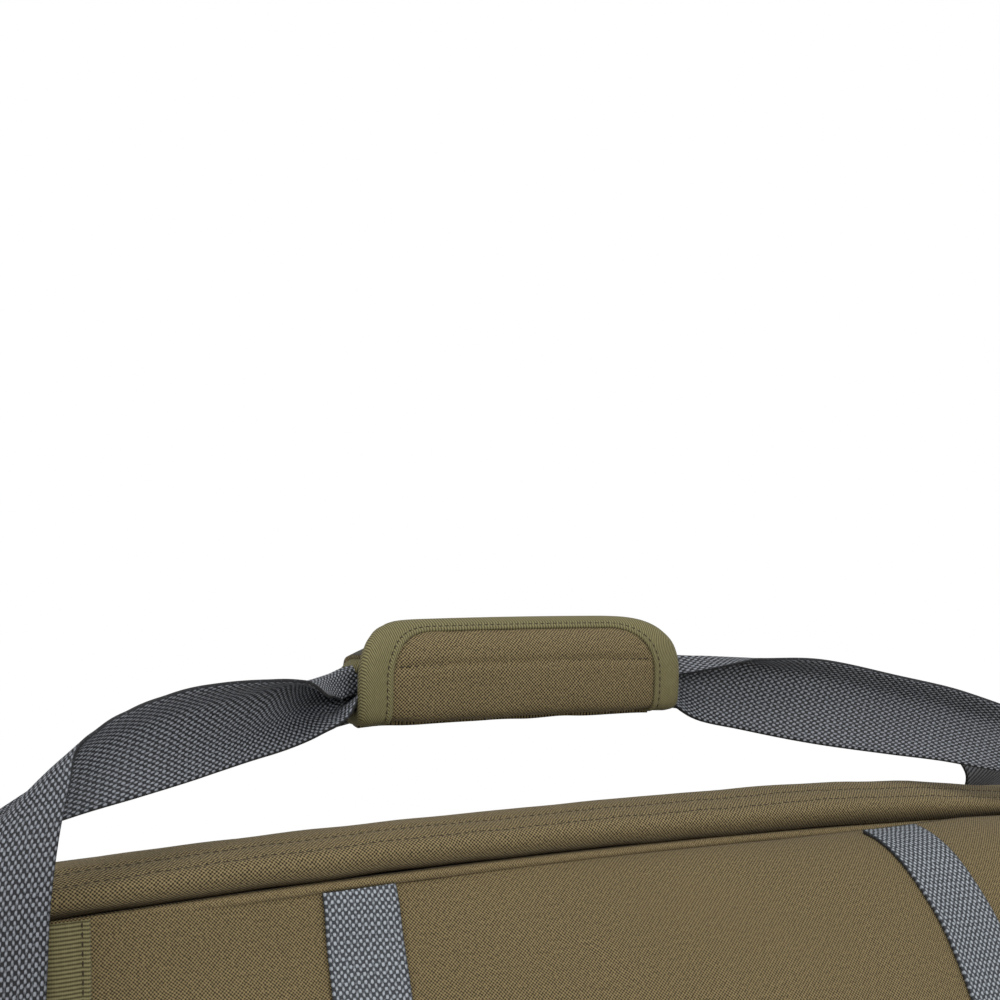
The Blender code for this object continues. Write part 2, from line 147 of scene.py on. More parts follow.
def linked(name, data):
    obj = bpy.data.objects.new(name, data)
    bpy.context.scene.collection.objects.link(obj)
    return obj


def linkedMesh(bm, name):
    mesh = bpy.data.meshes.new(name)
    bm.to_mesh(mesh)
    bm.free()
    return linked(name, mesh)


def pieceFrom(bm, name, body, mats):
    # turns a bmesh into a finished piece riding on its body
    obj = linkedMesh(bm, name)
    for mat in mats:
        obj.data.materials.append(mat)
    for polygon in obj.data.polygons:
        polygon.use_smooth = True
    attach(obj, body)
    return obj


def gridPiece(name, grid, body, mats, thick=0.0, offset=-1.0, flip=False, uvs=None, closed=False):
    # a grid of points (u, v, xyz) laid over a flat grid, with real distances as its UV map
    uCount, vCount = grid.shape[:2]
    uRun, vRun = uvs if uvs is not None else (runs(grid, 0), runs(grid, 1))
    bm = bmesh.new()
    layer = bm.loops.layers.uv.new("UVMap")
    bmesh.ops.create_grid(bm, x_segments=uCount - 1, y_segments=vCount - 1, size=0.5)
    where = {}
    for vert in bm.verts:
        i, j = round((vert.co.x + 0.5) * (uCount - 1)), round((vert.co.y + 0.5) * (vCount - 1))
        where[vert] = (i, j)
    for face in bm.faces:
        for loop in face.loops:
            i, j = where[loop.vert]
            loop[layer].uv = (uRun[i, j], vRun[i, j])
    for vert, (i, j) in where.items():
        vert.co = grid[i, j]
    if closed:
        bmesh.ops.remove_doubles(bm, verts=bm.verts, dist=0.00002)
    if flip:
        bmesh.ops.reverse_faces(bm, faces=bm.faces)
    obj = pieceFrom(bm, name, body, mats)
    if thick:
        wall = obj.modifiers.new("thickness", "SOLIDIFY")
        wall.thickness = thick
        wall.offset = offset
        wall.use_even_offset = False
        wall.material_offset = 1 if len(mats) > 1 else 0
        wall.material_offset_rim = 0
    return obj


def scattered(name, makeUnit, places, body, mat):
    # one small shape repeated at many places, as a single piece
    unit = bpy.data.meshes.new(name + "Unit")
    bm = bmesh.new()
    makeUnit(bm)
    bm.to_mesh(unit)
    bm.free()
    shape = np.empty(len(unit.vertices) * 3)
    unit.vertices.foreach_get("co", shape)
    shape = np.c_[shape.reshape(-1, 3), np.ones(len(unit.vertices))]
    bm = bmesh.new()
    for place in places:
        moved = shape @ np.array(place).T
        unit.vertices.foreach_set("co", moved[:, :3].ravel())
        bm.from_mesh(unit)
    bpy.data.meshes.remove(unit)
    return pieceFrom(bm, name, body, [mat])


def stitch(bm):
    bmesh.ops.create_uvsphere(bm, u_segments=6, v_segments=4, radius=1.0)


def stitchRow(name, points, normals, body, mat, pitch=0.0034, length=0.0024, radius=0.00034, sink=0.00005):
    # separate thread stitches laid end to end along a line
    pts = np.array(points, float)
    run = distances(pts)
    count = max(2, int(run[-1] / pitch))
    at = (np.arange(count) + 0.5) * run[-1] / count
    nrm = np.array(normals, float)
    places = []
    for s in at:
        here = Vector([np.interp(s, run, pts[:, k]) for k in range(3)])
        ahead = Vector([np.interp(min(s + pitch, run[-1]), run, pts[:, k]) for k in range(3)])
        behind = Vector([np.interp(max(s - pitch, 0), run, pts[:, k]) for k in range(3)])
        up = Vector([np.interp(s, run, nrm[:, k]) for k in range(3)]).normalized()
        along = (ahead - behind).normalized()
        side = up.cross(along).normalized()
        up = along.cross(side)
        turn = Matrix((along, side, up)).transposed().to_4x4()
        size = Matrix.Diagonal((length / 2, radius, radius * 0.7, 1))
        places.append(Matrix.Translation(here - up * sink) @ turn @ size)
    return scattered(name, stitch, places, body, mat)


# materials

def newMaterial(name, roughness, sheen, specular=0.3):
    mat = bpy.data.materials.new(name)
    mat.use_nodes = True
    tree = mat.node_tree
    shader = tree.nodes["Principled BSDF"]
    shader.inputs["Roughness"].default_value = roughness
    shader.inputs["Sheen Weight"].default_value = sheen
    shader.inputs["Sheen Roughness"].default_value = 0.5
    shader.inputs["Specular IOR Level"].default_value = specular
    return mat, tree, shader


def calc(tree, operation, *values):
    node = tree.nodes.new("ShaderNodeMath")
    node.operation = operation
    for socket, value in zip(node.inputs, values):
        if isinstance(value, (int, float)):
            socket.default_value = value
        else:
            tree.links.new(value, socket)
    return node.outputs[0]


def uvSockets(tree):
    coords = tree.nodes.new("ShaderNodeUVMap")
    coords.uv_map = "UVMap"
    split = tree.nodes.new("ShaderNodeSeparateXYZ")
    tree.links.new(coords.outputs["UV"], split.inputs[0])
    return coords.outputs["UV"], split.outputs[0], split.outputs[1]


def cloudy(tree, vector, scale, detail=3.0):
    node = tree.nodes.new("ShaderNodeTexNoise")
    node.inputs["Scale"].default_value = scale
    node.inputs["Detail"].default_value = detail
    tree.links.new(vector, node.inputs["Vector"])
    return node.outputs["Fac"]


def ramp(tree, fac, stops):
    node = tree.nodes.new("ShaderNodeValToRGB")
    while len(node.color_ramp.elements) < len(stops):
        node.color_ramp.elements.new(0.5)
    for element, (place, colour) in zip(node.color_ramp.elements, stops):
        element.position = place
        element.color = colour
    tree.links.new(fac, node.inputs["Fac"])
    return node.outputs["Color"]


def shade(tree, colour, amount):
    # multiplies a colour by a plain number
    node = tree.nodes.new("ShaderNodeVectorMath")
    node.operation = "SCALE"
    tree.links.new(colour, node.inputs[0])
    tree.links.new(amount, node.inputs["Scale"])
    return node.outputs[0]


def addBump(tree, shader, height, distance, strength):
    node = tree.nodes.new("ShaderNodeBump")
    node.inputs["Strength"].default_value = strength
    node.inputs["Distance"].default_value = distance
    tree.links.new(height, node.inputs["Height"])
    tree.links.new(node.outputs["Normal"], shader.inputs["Normal"])


def wave(tree, value, pitch):
    return calc(tree, "SINE", calc(tree, "MULTIPLY", value, 2 * math.pi / pitch))


def jitter(tree, vector, scale, amount, detail=3.0):
    # noise that varies by the amount, round zero
    return calc(tree, "MULTIPLY_ADD", cloudy(tree, vector, scale, detail), amount, -amount / 2)


def paint(tree, shader, uv, fac, stops, scale, spread):
    # the colour of a weave, with large soft blotches over it
    colour = ramp(tree, fac, stops)
    blotch = calc(tree, "MULTIPLY_ADD", cloudy(tree, uv, scale), spread, 1 - spread / 2)
    tree.links.new(shade(tree, colour, blotch), shader.inputs["Base Color"])


def clothMaterial(name, dark, light, pitch, roughness=0.88, sheen=0.06, bump=0.0002):
    # plain weave of fine threads: a staggered lattice of small floats
    mat, tree, shader = newMaterial(name, roughness, sheen)
    uv, u, v = uvSockets(tree)
    drift = jitter(tree, uv, 80.0, 0.0016)
    a = wave(tree, calc(tree, "ADD", u, drift), pitch)
    b = wave(tree, calc(tree, "SUBTRACT", v, drift), pitch)
    floats = calc(tree, "MULTIPLY_ADD", calc(tree, "MULTIPLY", a, b), 0.5, 0.5)
    fac = calc(tree, "ADD", floats, jitter(tree, uv, 900.0, 0.72, 1.0))
    paint(tree, shader, uv, fac, [(0.22, dark), (0.80, light)], 9.0, 0.16)
    addBump(tree, shader, fac, bump, 0.75)
    return mat


def webbingMaterial(name, dark, light, along, across):
    # heavy webbing: long floats in columns, every other column half a step along
    mat, tree, shader = newMaterial(name, 0.6, 0.05, 0.4)
    uv, u, v = uvSockets(tree)
    column = calc(tree, "FLOOR", calc(tree, "DIVIDE", v, across))
    phase = calc(tree, "MULTIPLY", column, math.pi)
    slide = jitter(tree, uv, 150.0, 0.0014)
    turned = calc(tree, "MULTIPLY", calc(tree, "ADD", u, slide), 2 * math.pi / along)
    lengthwise = calc(tree, "MULTIPLY_ADD", calc(tree, "SINE", calc(tree, "ADD", turned, phase)), 0.5, 0.5)
    half = calc(tree, "MULTIPLY", v, math.pi / across)
    crosswise = calc(tree, "ABSOLUTE", calc(tree, "SINE", half))
    body = calc(tree, "MULTIPLY", calc(tree, "POWER", crosswise, 0.5), calc(tree, "POWER", lengthwise, 1.5))
    fine = jitter(tree, uv, 1100.0, 0.9, 2.0)
    rib = calc(tree, "MULTIPLY_ADD", wave(tree, u, along), 0.17, -0.03)
    fac = calc(tree, "ADD", calc(tree, "ADD", body, fine), rib)
    paint(tree, shader, uv, fac, [(0.12, dark), (0.74, light)], 22.0, 0.2)
    addBump(tree, shader, body, 0.0004, 0.7)
    return mat


def ribMaterial(name, dark, light, pitch):
    # grosgrain tape: fine ribs across its length
    mat, tree, shader = newMaterial(name, 0.8, 0.05)
    uv, u, v = uvSockets(tree)
    ribs = calc(tree, "MULTIPLY_ADD", wave(tree, u, pitch), 0.5, 0.5)
    warp = calc(tree, "MULTIPLY", wave(tree, v, pitch * 0.55), 0.09)
    fac = calc(tree, "ADD", ribs, calc(tree, "ADD", warp, jitter(tree, uv, 700.0, 0.5, 1.0)))
    paint(tree, shader, uv, fac, [(0.1, dark), (0.9, light)], 30.0, 0.14)
    addBump(tree, shader, ribs, 0.00012, 0.6)
    return mat


def solidMaterial(name, colour, roughness, scale, bump, metallic=0.0):
    # moulded or painted finish with a fine grain
    mat, tree, shader = newMaterial(name, roughness, 0.0, 0.5)
    shader.inputs["Metallic"].default_value = metallic
    coords = tree.nodes.new("ShaderNodeTexCoord")
    grain = cloudy(tree, coords.outputs["Object"], scale)
    low = tuple(c * 0.8 for c in colour[:3]) + (1.0,)
    high = tuple(min(c * 1.25, 1) for c in colour[:3]) + (1.0,)
    tree.links.new(ramp(tree, grain, [(0.3, low), (0.7, high)]), shader.inputs["Base Color"])
    addBump(tree, shader, grain, bump, 0.5)
    return mat


fabricMat = clothMaterial("caseFabric", srgb(54, 45, 27), srgb(140, 123, 86), weave["fabricPitch"])
paddedMat = clothMaterial("paddedFabric", srgb(38, 30, 16), srgb(148, 131, 93), weave["fabricPitch"] * 1.12)
# piping cloth: the case fabric's colours made lighter, painted light against the shade the roll casts on the
# piping
pipingPaintedLightMat = clothMaterial("pipingFabricPaintedLight", srgb(66, 56, 35), srgb(150, 132, 94), weave["fabricPitch"] * 0.9)
liningMat = clothMaterial("lining", srgb(52, 49, 40), srgb(84, 80, 68), weave["liningPitch"],
                          roughness=0.8, sheen=0.1, bump=0.0001)
webMat = webbingMaterial("handleWebbing", srgb(22, 23, 27), srgb(146, 150, 158), *weave["handleWeb"])
strapMat = webbingMaterial("sleeveWebbing", srgb(46, 49, 54), srgb(164, 171, 178), *weave["sleeveWeb"])
bindMat = ribMaterial("greenTape", srgb(76, 70, 44), srgb(138, 131, 92), weave["ribPitch"])
zipMat = ribMaterial("zipTape", srgb(30, 28, 23), srgb(56, 53, 45), 0.0009)
coilMat = solidMaterial("zipCoil", srgb(52, 49, 42), 0.45, 900.0, 0.00003)
sliderMat = solidMaterial("sliderEnamel", srgb(62, 60, 55), 0.35, 1200.0, 0.00002, metallic=0.6)
pullerMat = solidMaterial("pullerRubber", srgb(58, 56, 46), 0.7, 900.0, 0.00006)
threadMat = solidMaterial("thread", srgb(56, 47, 28), 0.8, 2500.0, 0.00003)
greyThreadMat = solidMaterial("greyThread", srgb(70, 72, 78), 0.7, 2500.0, 0.00003)
elasticMat = ribMaterial("elastic", srgb(34, 33, 30), srgb(66, 64, 58), 0.0016)
hookMat = solidMaterial("hookTape", srgb(40, 38, 33), 0.9, 1600.0, 0.0006)
boardMat = solidMaterial("stiffener", srgb(42, 42, 42), 0.6, 600.0, 0.00004)
print("materials made")


# camera, light and floor

def makeCamera():
    view = {
        "place": (-0.322, frontY - 0.500, seamZ + 0.1015),
        "yaw": 27.0,
        "pitch": 3.53,
        "roll": 0.5,
        "lens": 52.56,
    }
    data = bpy.data.cameras.new("camera")
    data.lens = view["lens"]
    data.clip_start = 0.02
    cam = linked("camera", data)
    turn = (Matrix.Rotation(math.radians(-view["yaw"]), 4, "Z")
            @ Matrix.Rotation(math.radians(90 + view["pitch"]), 4, "X")
            @ Matrix.Rotation(math.radians(-view["roll"]), 4, "Z"))
    cam.matrix_world = Matrix.Translation(view["place"]) @ turn
    bpy.context.scene.camera = cam


def areaLight(name, place, target, size, power):
    data = bpy.data.lights.new(name, "AREA")
    data.shape = "RECTANGLE"
    data.size, data.size_y = size
    data.energy = power
    lamp = linked(name, data)
    lamp.location = place
    lamp.rotation_euler = (Vector(target) - Vector(place)).to_track_quat("-Z", "Y").to_euler()


def makeStudio():
    studio = {
        "sky": 0.36,
        "top": 27.0,
        "left": 12.0,
        "front": 27.0,
        "floorRadius": 1.9,
        "floorDrop": 0.0004,     # keeps the floor clear of the base
        "fade": (0.85, 1.35),    # distances over which the floor fades away
    }
    world = bpy.data.worlds.new("studio")
    bpy.context.scene.world = world
    world.use_nodes = True
    tree = world.node_tree
    back = tree.nodes["Background"]
    path = tree.nodes.new("ShaderNodeLightPath")
    strength = calc(tree, "MAXIMUM", path.outputs["Is Camera Ray"], studio["sky"])
    back.inputs["Color"].default_value = (1, 1, 1, 1)
    tree.links.new(strength, back.inputs["Strength"])
    areaLight("topSoftbox", (-0.3, -0.7, 2.4), (0.0, 0.0, 0.2), (2.6, 1.6), studio["top"])
    areaLight("frontSoftbox", (0.5, -2.6, 1.5), (0.0, 0.0, 0.25), (2.2, 1.2), studio["front"])
    areaLight("leftSoftbox", (-2.2, -1.4, 1.3), (-0.1, 0.0, 0.25), (1.4, 1.4), studio["left"])

    bm = bmesh.new()
    bmesh.ops.create_circle(bm, cap_ends=True, cap_tris=False, segments=96, radius=studio["floorRadius"],
                            matrix=Matrix.Translation((0, 0, -studio["floorDrop"])))
    floor = linkedMesh(bm, "floor")
    mat, tree, shader = newMaterial("paleFloor", 0.9, 0.0)
    shader.inputs["Base Color"].default_value = (0.83, 0.83, 0.82, 1)
    coords = tree.nodes.new("ShaderNodeTexCoord")
    far = tree.nodes.new("ShaderNodeVectorMath")
    far.operation = "LENGTH"
    tree.links.new(coords.outputs["Object"], far.inputs[0])
    fade = tree.nodes.new("ShaderNodeMapRange")
    fade.interpolation_type = "SMOOTHSTEP"
    fade.inputs["From Min"].default_value, fade.inputs["From Max"].default_value = studio["fade"]
    fade.inputs["To Min"].default_value = 1.0
    fade.inputs["To Max"].default_value = 0.0
    tree.links.new(far.outputs["Value"], fade.inputs["Value"])
    tree.links.new(fade.outputs["Result"], shader.inputs["Alpha"])
    floor.data.materials.append(mat)
    bpy.context.scene.view_settings.view_transform = "Standard"


makeCamera()
makeStudio()
print("camera, light and floor made")


# the case's rim: end, corner, arch, corner, end

def rimLine(zLow, archSteps=220, cornerSteps=16, endSteps=10):
    # (x, z, outward x, outward z) along the whole rim at the level of the seam
    radius = case["topCorner"]
    cornerX = -halfCase + radius
    cornerZ = archCentre + math.sqrt((archRadius - radius) ** 2 - cornerX**2)
    lean = math.atan2(cornerZ - archCentre, cornerX)
    left = [(-halfCase, zLow + (cornerZ - zLow) * k / endSteps, -1.0, 0.0) for k in range(endSteps)]
    for k in range(cornerSteps):
        angle = math.pi + (lean - math.pi) * k / cornerSteps
        nx, nz = math.cos(angle), math.sin(angle)
        left.append((cornerX + radius * nx, cornerZ + radius * nz, nx, nz))
    arch = []
    for k in range(archSteps + 1):
        angle = lean + (math.pi - 2 * lean) * k / archSteps
        nx, nz = math.cos(angle), math.sin(angle)
        arch.append((archRadius * nx, archCentre + archRadius * nz, nx, nz))
    right = [(-x, z, -nx, nz) for x, z, nx, nz in reversed(left)]
    return left + arch + right


def archZ(x, level=0.0):
    return archCentre + math.sqrt((archRadius + level) ** 2 - x * x)


def topLevel(back):
    # level of the padded top, back metres behind the front face
    return case["rollRise"] - case["topFall"] * (back - case["rollCrest"])


swellPlaces = np.linspace(-0.42, 0.42, 85)
swellLifts = np.interp(swellPlaces * 1000, *zip(*case["swell"])) / 1000
swellLifts = np.convolve(np.pad(swellLifts, 2, "edge"), np.ones(5) / 5, "valid")


def swell(x, z, level, back):
    # only the roll swells up, but the whole top sinks
    if z < case["swellFloor"]:
        return 0.0
    lift = float(np.interp(x, swellPlaces, swellLifts)) * min(max(level / case["rollRise"], 0.0), 1.0)
    return lift * ease(0.034, 0.024, back) if lift > 0 else lift


def rimGrid(profile, zLow, lumps=0.0, seed=0.0):
    # profile is (back, level) from front to rear
    rim = rimLine(zLow)
    grid = np.zeros((len(rim), len(profile), 3))
    for i, (x, z, nx, nz) in enumerate(rim):
        for j, (back, level) in enumerate(profile):
            lift = lumps * wobble(x + seed, back * 1.5, z, 9.0)
            lift += lumps * 0.5 * wobble(x, back + seed, z, 40.0)
            rise = swell(x, z, level, back)
            grid[i, j] = (x + nx * (level + lift), frontY + back, z + nz * (level + lift) + rise)
    return grid


def gridNormals(grid):
    du = np.gradient(grid, axis=0)
    dv = np.gradient(grid, axis=1)
    n = np.cross(du, dv)
    return n / np.maximum(np.linalg.norm(n, axis=2, keepdims=True), 1e-12)


roll = {
    # (back, level) of the roll's outside, from the seam round the ridge and the crest to the zip
    "profile": [(0.0024, -0.0006), (0.0000, 0.0008), (-0.0024, 0.0024), (-0.0042, 0.0048), (-0.0043, 0.0074),
                (-0.0022, 0.0098), (0.0024, 0.0115), (0.0075, 0.0130), (0.0130, 0.0140), (0.0190, 0.0144),
                (0.0240, 0.0132), (0.0280, 0.0118)],
    "stitches": (0.37, 0.56),     # places of the two rows across the roll
    "lumps": 0.0011,
    "groove": 0.0008,
}


def buildRoll():
    across = 34
    profile = evenly(through([(b, l, 0) for b, l in roll["profile"]], 80)[:, :2], across)
    grid = rimGrid(profile, hingeZ + 0.0008, roll["lumps"])
    normals = gridNormals(grid)
    share = np.linspace(0, 1, across)
    groove = sum(np.exp(-((share - place) / 0.022) ** 2) for place in roll["stitches"])
    pucker = np.array([0.75 + 0.25 * math.sin(k * 2.1) for k in range(grid.shape[0])])
    grid = grid - normals * (roll["groove"] * groove[None, :, None] * pucker[:, None, None])
    piece = gridPiece("roll", grid, "lid", [paddedMat, liningMat], thick=case["gusset"])
    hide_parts("lid_top_gusset", "lid_left_gusset", "lid_right_gusset")
    for number, place in enumerate(roll["stitches"]):
        j = round(place * (across - 1))
        stitchRow(f"rollStitches{number + 1}", grid[:, j], normals[:, j], "lid", threadMat, sink=-0.0001)


def tubeGrid(rim, back, level, radius, sides=12):
    grid = np.zeros((len(rim), sides + 1, 3))
    for i, (x, z, nx, nz) in enumerate(rim):
        for j in range(sides + 1):
            angle = 2 * math.pi * j / sides
            out, away = radius * math.sin(angle), radius * math.cos(angle)
            fuller = 1 + 0.10 * wobble(x, z, back, 55.0)
            reach = level + out * fuller
            grid[i, j] = (x + nx * reach, frontY + back - away * fuller, z + nz * reach)
    return grid


def buildPiping():
    radius = case["piping"]
    depth = rearY - frontY
    for name, node, body, back, level, zLow in (
            ("frontPiping", "front_piping", "lid", -radius * 1.3, -radius * 1.05, hingeZ + 0.002),
            ("rearPiping", "rear_piping", "tray", depth + radius * 0.9, topLevel(depth) - 0.001, 0.013)):
        grid = tubeGrid(rimLine(zLow), back, level, radius)
        piece = gridPiece(name, grid, body, [pipingPaintedLightMat], closed=True)
        for end in (0, -1):
            capRing(piece, grid[end])
        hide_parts(node)


def capRing(piece, ring):
    # closes the open end of a tube with a fan
    bm = bmesh.new()
    bm.from_mesh(piece.data)
    bm.edges.ensure_lookup_table()
    centre = Vector(ring.mean(0))
    rim = [edge for edge in bm.edges if edge.is_boundary and (edge.verts[0].co - centre).length < 0.02]
    bmesh.ops.contextual_create(bm, geom=rim)
    bmesh.ops.recalc_face_normals(bm, faces=bm.faces)
    bm.to_mesh(piece.data)
    bm.free()


# padded panels

padding = {
    "puff": 0.0035,
    "unevenness": 0.0016,
    "webHold": 0.75,         # share of the padding that the sewn webbing presses flat
    "frontLow": hingeZ + 0.0006,
    "frontLevel": -0.0006,
    "rearLow": 0.0106,
    "rearLevel": topLevel(rearY - frontY - 0.008),
    "rearSeed": 3.0,
}


def panelLift(x, z, zLow, top, side, seed):
    # how far the padding stands out at a place on a panel
    edge = min(z - zLow, top - z, side)
    lift = padding["puff"] * ease(0.0, 0.03, edge)
    lift += padding["unevenness"] * wobble(x + seed, 0.0, z, 7.0) * ease(0.0, 0.05, edge)
    pressed = ease(0.055, 0.023, abs(abs(x) - webMiddle)) * ease(anchorZ + 0.05, anchorZ + 0.004, z)
    return lift * (1 - padding["webHold"] * pressed)


def panelGrid(zLow, level, y, outward, seed=0.0):
    # a puffed panel between its bottom edge and the rim, with rounded top corners
    uSteps, vSteps = 150, 34
    radius = case["topCorner"]
    cornerX = halfCase - radius
    cornerZ = archCentre + math.sqrt((archRadius - radius) ** 2 - cornerX**2)
    lean = math.atan2(cornerZ - archCentre, cornerX)
    breakX = cornerX + radius * math.cos(lean)
    grid = np.zeros((uSteps + 1, vSteps + 1, 3))
    for i in range(uSteps + 1):
        s = i / uSteps * 2 - 1
        x = math.sin(s * math.pi / 2) * 0.35 * (halfCase + level) + s * 0.65 * (halfCase + level)
        if abs(x) <= breakX:
            top = archZ(x, level)
        else:
            inside = max((radius + level) ** 2 - (abs(x) - cornerX) ** 2, 0.0)
            top = cornerZ + math.sqrt(inside)
        for j in range(vSteps + 1):
            t = j / vSteps
            t = 0.6 * t + 0.4 * (1 - math.cos(math.pi * t)) / 2
            z = zLow + (top - zLow) * t
            lift = panelLift(x, z, zLow, top, halfCase + level - abs(x), seed)
            grid[i, j] = (x, y + outward * lift, z)
    return grid


def buildPanels():
    front = panelGrid(padding["frontLow"], padding["frontLevel"], frontY - 0.0002, -1)
    piece = gridPiece("frontPanel", front, "lid", [fabricMat, liningMat], thick=case["panel"])
    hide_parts("lid_panel")
    rear = panelGrid(padding["rearLow"], padding["rearLevel"], rearY, 1, seed=padding["rearSeed"])
    piece = gridPiece("rearPanel", rear, "tray", [fabricMat, liningMat],
                      thick=case["panel"], flip=True)
    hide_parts("rear_panel")


# sleeve

sleeve = {
    "bottom": 0.046,
    "thick": 0.0016,
    "fullness": 0.078,
    "strapMiddles": (-0.1272, 0.1165),
    "strapLeans": (0.0, -0.0035),      # how far each strap's top end leans along the case
    "strapWidth": 0.0280,
    # how far the top edge stands above the piping, (x, rise) in millimetres
    "rise": [(-235, 4.5), (-215, 4.0), (-170, 0.6), (-100, 0.2), (-60, 0.7), (60, 0.9), (110, 2.2),
             (160, 4.5), (235, 4.5)],
    "seamLine": 0.0003,      # gap under the front piping
    # the folded tape at each open end, (inset from the end, proud of the cloth)
    "binding": [(0.0125, 0.0011), (0.0118, 0.0016), (0.0102, 0.0009), (0.0060, 0.0012), (0.0020, 0.0012),
                (-0.0004, 0.0008), (-0.0010, -0.0008), (-0.0004, -0.0024), (0.0020, -0.0027),
                (0.0100, -0.0025)],
    "bindingStitch": 0.0102,
}
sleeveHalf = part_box("sleeve_panel")[1].x


def sleeveForward(x, down):
    along = (x + sleeveHalf) / (2 * sleeveHalf)
    fullness = 0.10 + 0.90 * ease(-0.05, 0.80, along) - 0.25 * ease(0.82, 1.15, along)
    power = 0.90 - 0.42 * ease(0.15, 0.75, along)
    return sleeve["fullness"] * fullness * max(math.sin(math.pi * min(max(down, 0.0), 1.0)), 0.0) ** power


def sleevePoint(x, down):
    top = archZ(x) - 2 * case["piping"] - sleeve["seamLine"]
    forward = 0.0027 + sleeveForward(x, down)
    edge = ease(0.0, 0.10, down) * ease(0.0, 0.10, 1 - down)
    along = (x + sleeveHalf) / (2 * sleeveHalf)
    wrinkle = 0.0022 * wobble(x * 0.8, down * 0.30, 0.4, 13.0) + 0.0008 * wobble(x, down * 0.2, 2.0, 34.0)
    pull = 0.0
    for middle in sleeve["strapMiddles"]:
        pull += 0.0030 * hump(middle, 0.020, x) * (0.3 + 0.7 * along)
    forward += edge * (wrinkle - pull)
    rise = float(np.interp(x * 1000, *zip(*sleeve["rise"]))) / 1000 * ease(0.20, 0.0, down)
    forward += 0.0014 * ease(0.0, 0.003, rise)
    return Vector((x, frontY - forward, top + (sleeve["bottom"] - top) * down + rise))


def sleeveOut(x, down):
    step = 0.006
    low, high = max(down - step, 0.0), min(down + step, 1.0)
    acrossWay = sleevePoint(x + step, down) - sleevePoint(x - step, down)
    return (sleevePoint(x, high) - sleevePoint(x, low)).cross(acrossWay).normalized()


def sleeveGrid(xLow, xHigh, columns, rows, proud, downLow=0.0, downHigh=1.0, lean=0.0):
    grid = np.zeros((columns + 1, rows + 1, 3))
    for i in range(columns + 1):
        x = xLow + (xHigh - xLow) * i / columns
        for j in range(rows + 1):
            t = (1 - math.cos(math.pi * j / rows)) / 2
            down = downLow + (downHigh - downLow) * t
            place = x + lean * ease(0.16, 0.0, down)
            grid[i, j] = sleevePoint(place, down) + sleeveOut(place, down) * proud
    return grid


def buildSleeve():
    grid = sleeveGrid(-sleeveHalf, sleeveHalf, 190, 84, 0.0)
    panel = gridPiece("sleevePanel", grid, "lid", [fabricMat, liningMat],
                      thick=sleeve["thick"], flip=True)
    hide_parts("sleeve_panel")
    for side, way in (("Left", -1), ("Right", 1)):
        # green tape folded round the sleeve's open end
        edge = way * sleeveHalf
        rows = 90
        section = sleeve["binding"]
        tape = np.zeros((rows + 1, len(section), 3))
        for i in range(rows + 1):
            down = 0.004 + 0.990 * (1 - math.cos(math.pi * i / rows)) / 2
            for j, (inset, proud) in enumerate(section):
                x = edge - way * inset
                tape[i, j] = sleevePoint(x, down) + sleeveOut(x, down) * proud
        piece = gridPiece("sleeveBinding" + side, tape, "lid", [bindMat],
                          thick=0.0006, flip=way > 0)
        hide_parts("sleeve_binding_" + side.lower())
        stitchX = edge - way * sleeve["bindingStitch"]
        normals = [sleeveOut(stitchX, min(max(k / rows, 0.02), 0.98)) for k in range(rows + 1)]
        line = tape[:, 2] + np.array(normals) * 0.0007
        stitchRow("sleeveBindingStitches" + side, line, normals, "lid", threadMat,
                  pitch=0.0030, length=0.0021, radius=0.00035)
        middle = sleeve["strapMiddles"][way > 0]
        half = sleeve["strapWidth"] / 2
        lean = sleeve["strapLeans"][way > 0]
        strap = sleeveGrid(middle - half, middle + half, 14, 90, 0.0018, 0.002, 0.999, lean)
        crown = np.sin(np.linspace(0, math.pi, 15)) ** 0.5 * 0.0005
        strap[:, :, 1] -= crown[:, None]
        uvs = (runs(strap, 1), runs(strap, 0))
        piece = gridPiece("sleeveStrap" + side, strap, "lid", [strapMat],
                          thick=0.0015, flip=True, uvs=uvs)
        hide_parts("sleeve_strap_" + side.lower())


# handle straps

